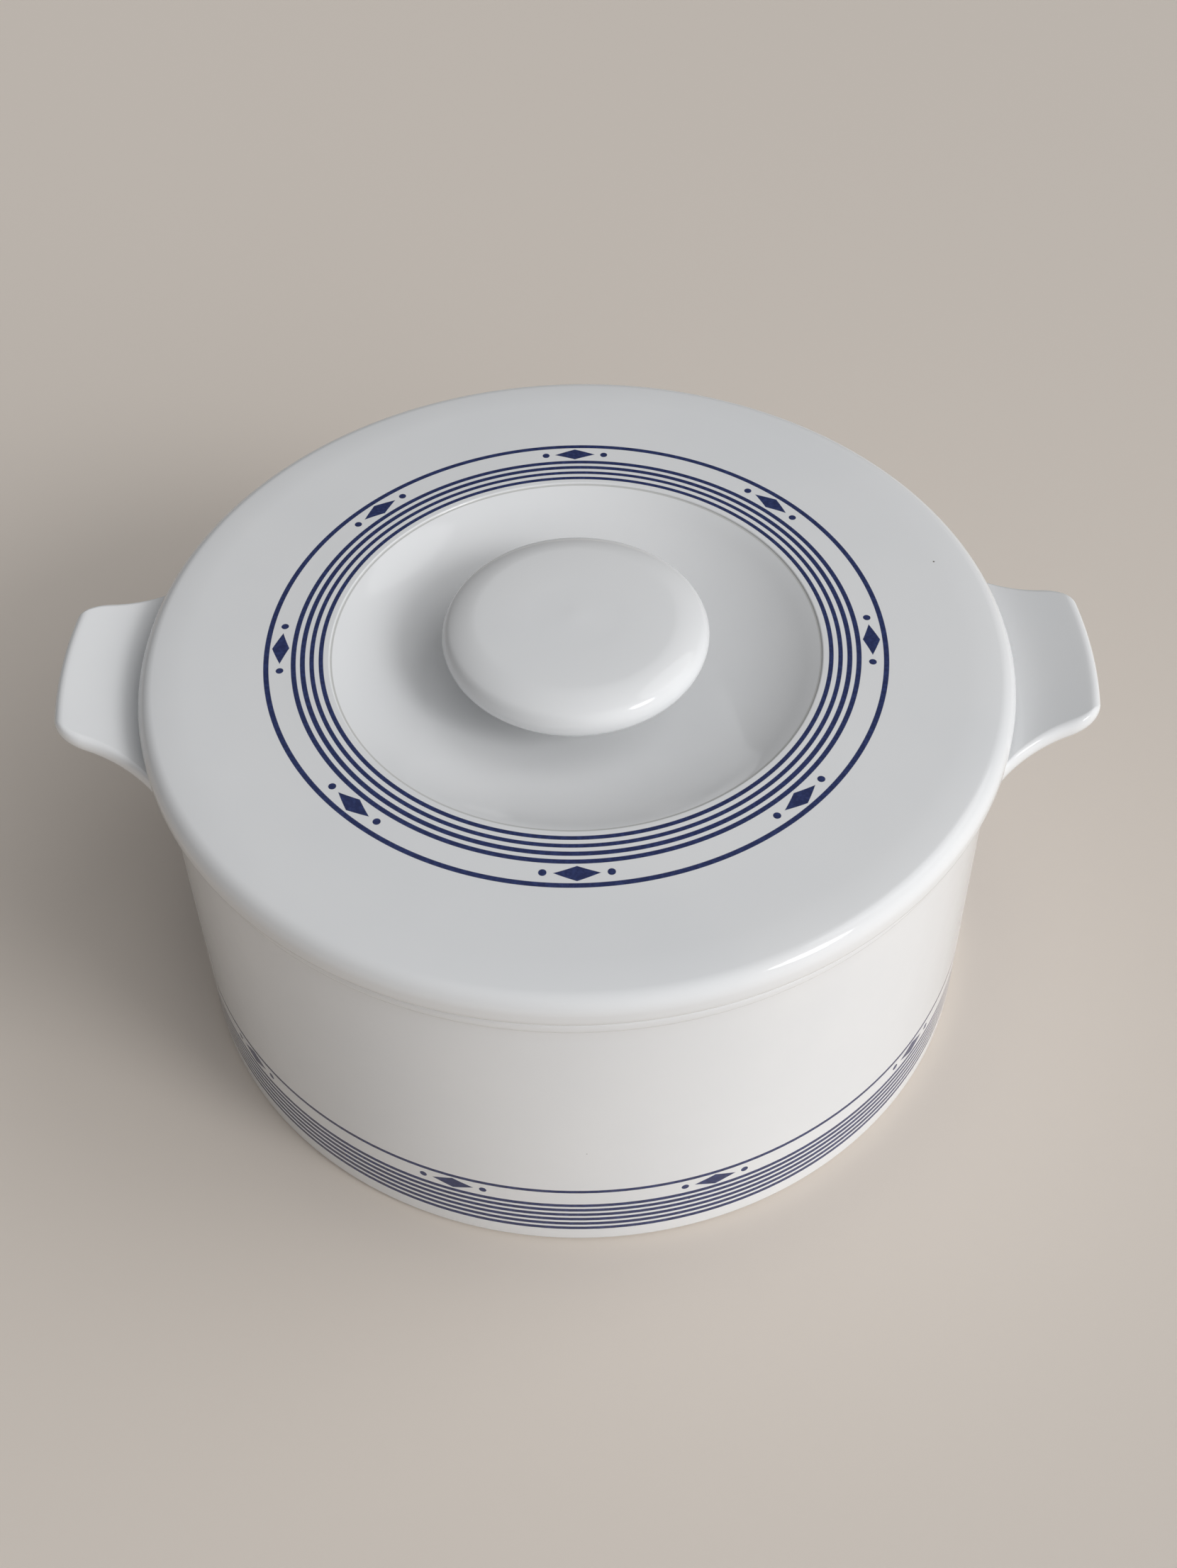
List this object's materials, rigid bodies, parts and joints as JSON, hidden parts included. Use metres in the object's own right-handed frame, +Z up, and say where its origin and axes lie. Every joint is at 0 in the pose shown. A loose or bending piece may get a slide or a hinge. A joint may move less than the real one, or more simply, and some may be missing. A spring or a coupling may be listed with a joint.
{
  "type": "soup tureen with lid",
  "caption": "Straight-sided porcelain soup tureen with lug handles and a lift-off lid, dished round a mushroom knob, for serving soup at the table.",
  "frame": {"origin": "on the table, under the middle of the foot ring, on the bowl's axis", "axes": "+Z up along the bowl's axis, +X towards the right handle, +Y to the back"},
  "size_m": [0.2578, 0.2168, 0.118],
  "materials": {
    "bowl_glaze": "white glazed porcelain with printed blue lines round the foot",
    "lid_glaze": "white glazed porcelain with printed blue lines round the well"
  },
  "bodies": {
    "tureen": {"tureen_bowl": "bowl_glaze", "left_handle": "bowl_glaze", "right_handle": "bowl_glaze"},
    "cover": {"lid": "lid_glaze", "lid_knob": "lid_glaze"}
  },
  "joints": [
    {"name": "lid_lift", "type": "slide", "parent": "tureen", "child": "cover", "axis": [0, 0, 1], "range_m": [0, 0.15]}
  ]
}
